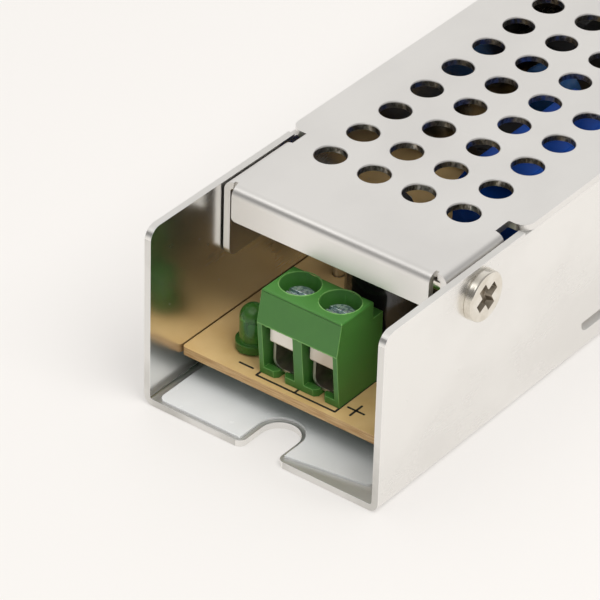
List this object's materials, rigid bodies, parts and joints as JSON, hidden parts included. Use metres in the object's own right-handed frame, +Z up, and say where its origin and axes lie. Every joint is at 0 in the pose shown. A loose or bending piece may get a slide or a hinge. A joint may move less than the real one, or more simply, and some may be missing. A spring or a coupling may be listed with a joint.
{
  "type": "led power supply",
  "caption": "Slim low-voltage lighting supply: folded sheet channel with a vented screwed cover, a component board inside and a green screw terminal at each open end.",
  "frame": {"origin": "centre of the channel's underside", "axes": "+Y from the output end to the mains end, +Z up out of the cover, +X across the channel"},
  "size_m": [0.0322, 0.1006, 0.022],
  "materials": {
    "case_sheet": "faintly brushed sheet, satin",
    "cover_sheet": "satin sheet",
    "white_film": "smooth film",
    "board_laminate": "tan paper laminate",
    "terminal_green": "satin moulding",
    "contact_tinned": "tinned strip",
    "screw_zinc": "bluish zinc",
    "screw_nickel": "nickel plated",
    "indicator_green": "diffused green",
    "can_sleeve_black": "shrunk sleeve",
    "can_sleeve_navy": "shrunk sleeve",
    "package_black": "moulded",
    "package_white": "moulded",
    "disc_blue": "dipped",
    "disc_green": "dipped",
    "ferrite": "ground dark grey",
    "tape_blue": "polyester tape",
    "former_black": "moulded",
    "copper_wire": "enamelled copper",
    "box_grey": "moulded box",
    "fuse_brown": "moulded"
  },
  "bodies": {
    "supply": {"base_channel": "case_sheet", "bridge_rectifier": "package_black", "choke_core": "ferrite", "choke_winding": "copper_wire", "circuit_board": "board_laminate", "controller_chip": "package_black", "cover": "cover_sheet", "cover_screw_mains_left": "screw_nickel", "cover_screw_output_right": "screw_nickel", "film_capacitor": "box_grey", "filter_capacitor": "can_sleeve_navy", "fuse": "fuse_brown", "indicator": "indicator_green", "insulating_sheet": "white_film", "mains_capacitor": "can_sleeve_black", "mains_contact_1": "contact_tinned", "mains_contact_2": "contact_tinned", "mains_terminal_housing": "terminal_green", "optocoupler": "package_white", "output_capacitor": "can_sleeve_black", "output_contact_1": "contact_tinned", "output_contact_2": "contact_tinned", "output_diode": "package_black", "output_terminal_housing": "terminal_green", "safety_capacitor": "disc_blue", "thermistor": "disc_green", "transformer_bobbin": "former_black", "transformer_core_front": "ferrite", "transformer_core_rear": "ferrite", "transformer_core_tape": "tape_blue", "transformer_winding": "tape_blue"},
    "output_guard_1": {"output_wire_guard_1": "contact_tinned"},
    "output_screw_1": {"output_clamp_screw_1": "screw_zinc"},
    "output_guard_2": {"output_wire_guard_2": "contact_tinned"},
    "output_screw_2": {"output_clamp_screw_2": "screw_zinc"},
    "mains_guard_1": {"mains_wire_guard_1": "contact_tinned"},
    "mains_screw_1": {"mains_clamp_screw_1": "screw_zinc"},
    "mains_guard_2": {"mains_wire_guard_2": "contact_tinned"},
    "mains_screw_2": {"mains_clamp_screw_2": "screw_zinc"}
  },
  "joints": [
    {"name": "output_guard_1_slide", "type": "slide", "parent": "supply", "child": "output_guard_1", "axis": [0, 0, -1], "range_m": [0, 0.002]},
    {"name": "output_screw_1_turn", "type": "hinge", "parent": "output_guard_1", "child": "output_screw_1", "pos_m": [-0.00254, -0.04063, 0.0091], "axis": [0, 0, -1], "range_deg": [0, 1601]},
    {"name": "output_guard_2_slide", "type": "slide", "parent": "supply", "child": "output_guard_2", "axis": [0, 0, -1], "range_m": [0, 0.002]},
    {"name": "output_screw_2_turn", "type": "hinge", "parent": "output_guard_2", "child": "output_screw_2", "pos_m": [0.00254, -0.04063, 0.0091], "axis": [0, 0, -1], "range_deg": [0, 1601]},
    {"name": "mains_guard_1_slide", "type": "slide", "parent": "supply", "child": "mains_guard_1", "axis": [0, 0, -1], "range_m": [0, 0.002]},
    {"name": "mains_screw_1_turn", "type": "hinge", "parent": "mains_guard_1", "child": "mains_screw_1", "pos_m": [-0.00254, 0.04063, 0.0091], "axis": [0, 0, -1], "range_deg": [0, 1601]},
    {"name": "mains_guard_2_slide", "type": "slide", "parent": "supply", "child": "mains_guard_2", "axis": [0, 0, -1], "range_m": [0, 0.002]},
    {"name": "mains_screw_2_turn", "type": "hinge", "parent": "mains_guard_2", "child": "mains_screw_2", "pos_m": [0.00254, 0.04063, 0.0091], "axis": [0, 0, -1], "range_deg": [0, 1601]}
  ],
  "couplings": [
    {"joint": "output_screw_1_turn", "follows": "output_guard_1_slide", "rad_per_m": 13963},
    {"joint": "output_screw_2_turn", "follows": "output_guard_2_slide", "rad_per_m": 13963},
    {"joint": "mains_screw_1_turn", "follows": "mains_guard_1_slide", "rad_per_m": 13963},
    {"joint": "mains_screw_2_turn", "follows": "mains_guard_2_slide", "rad_per_m": 13963}
  ]
}
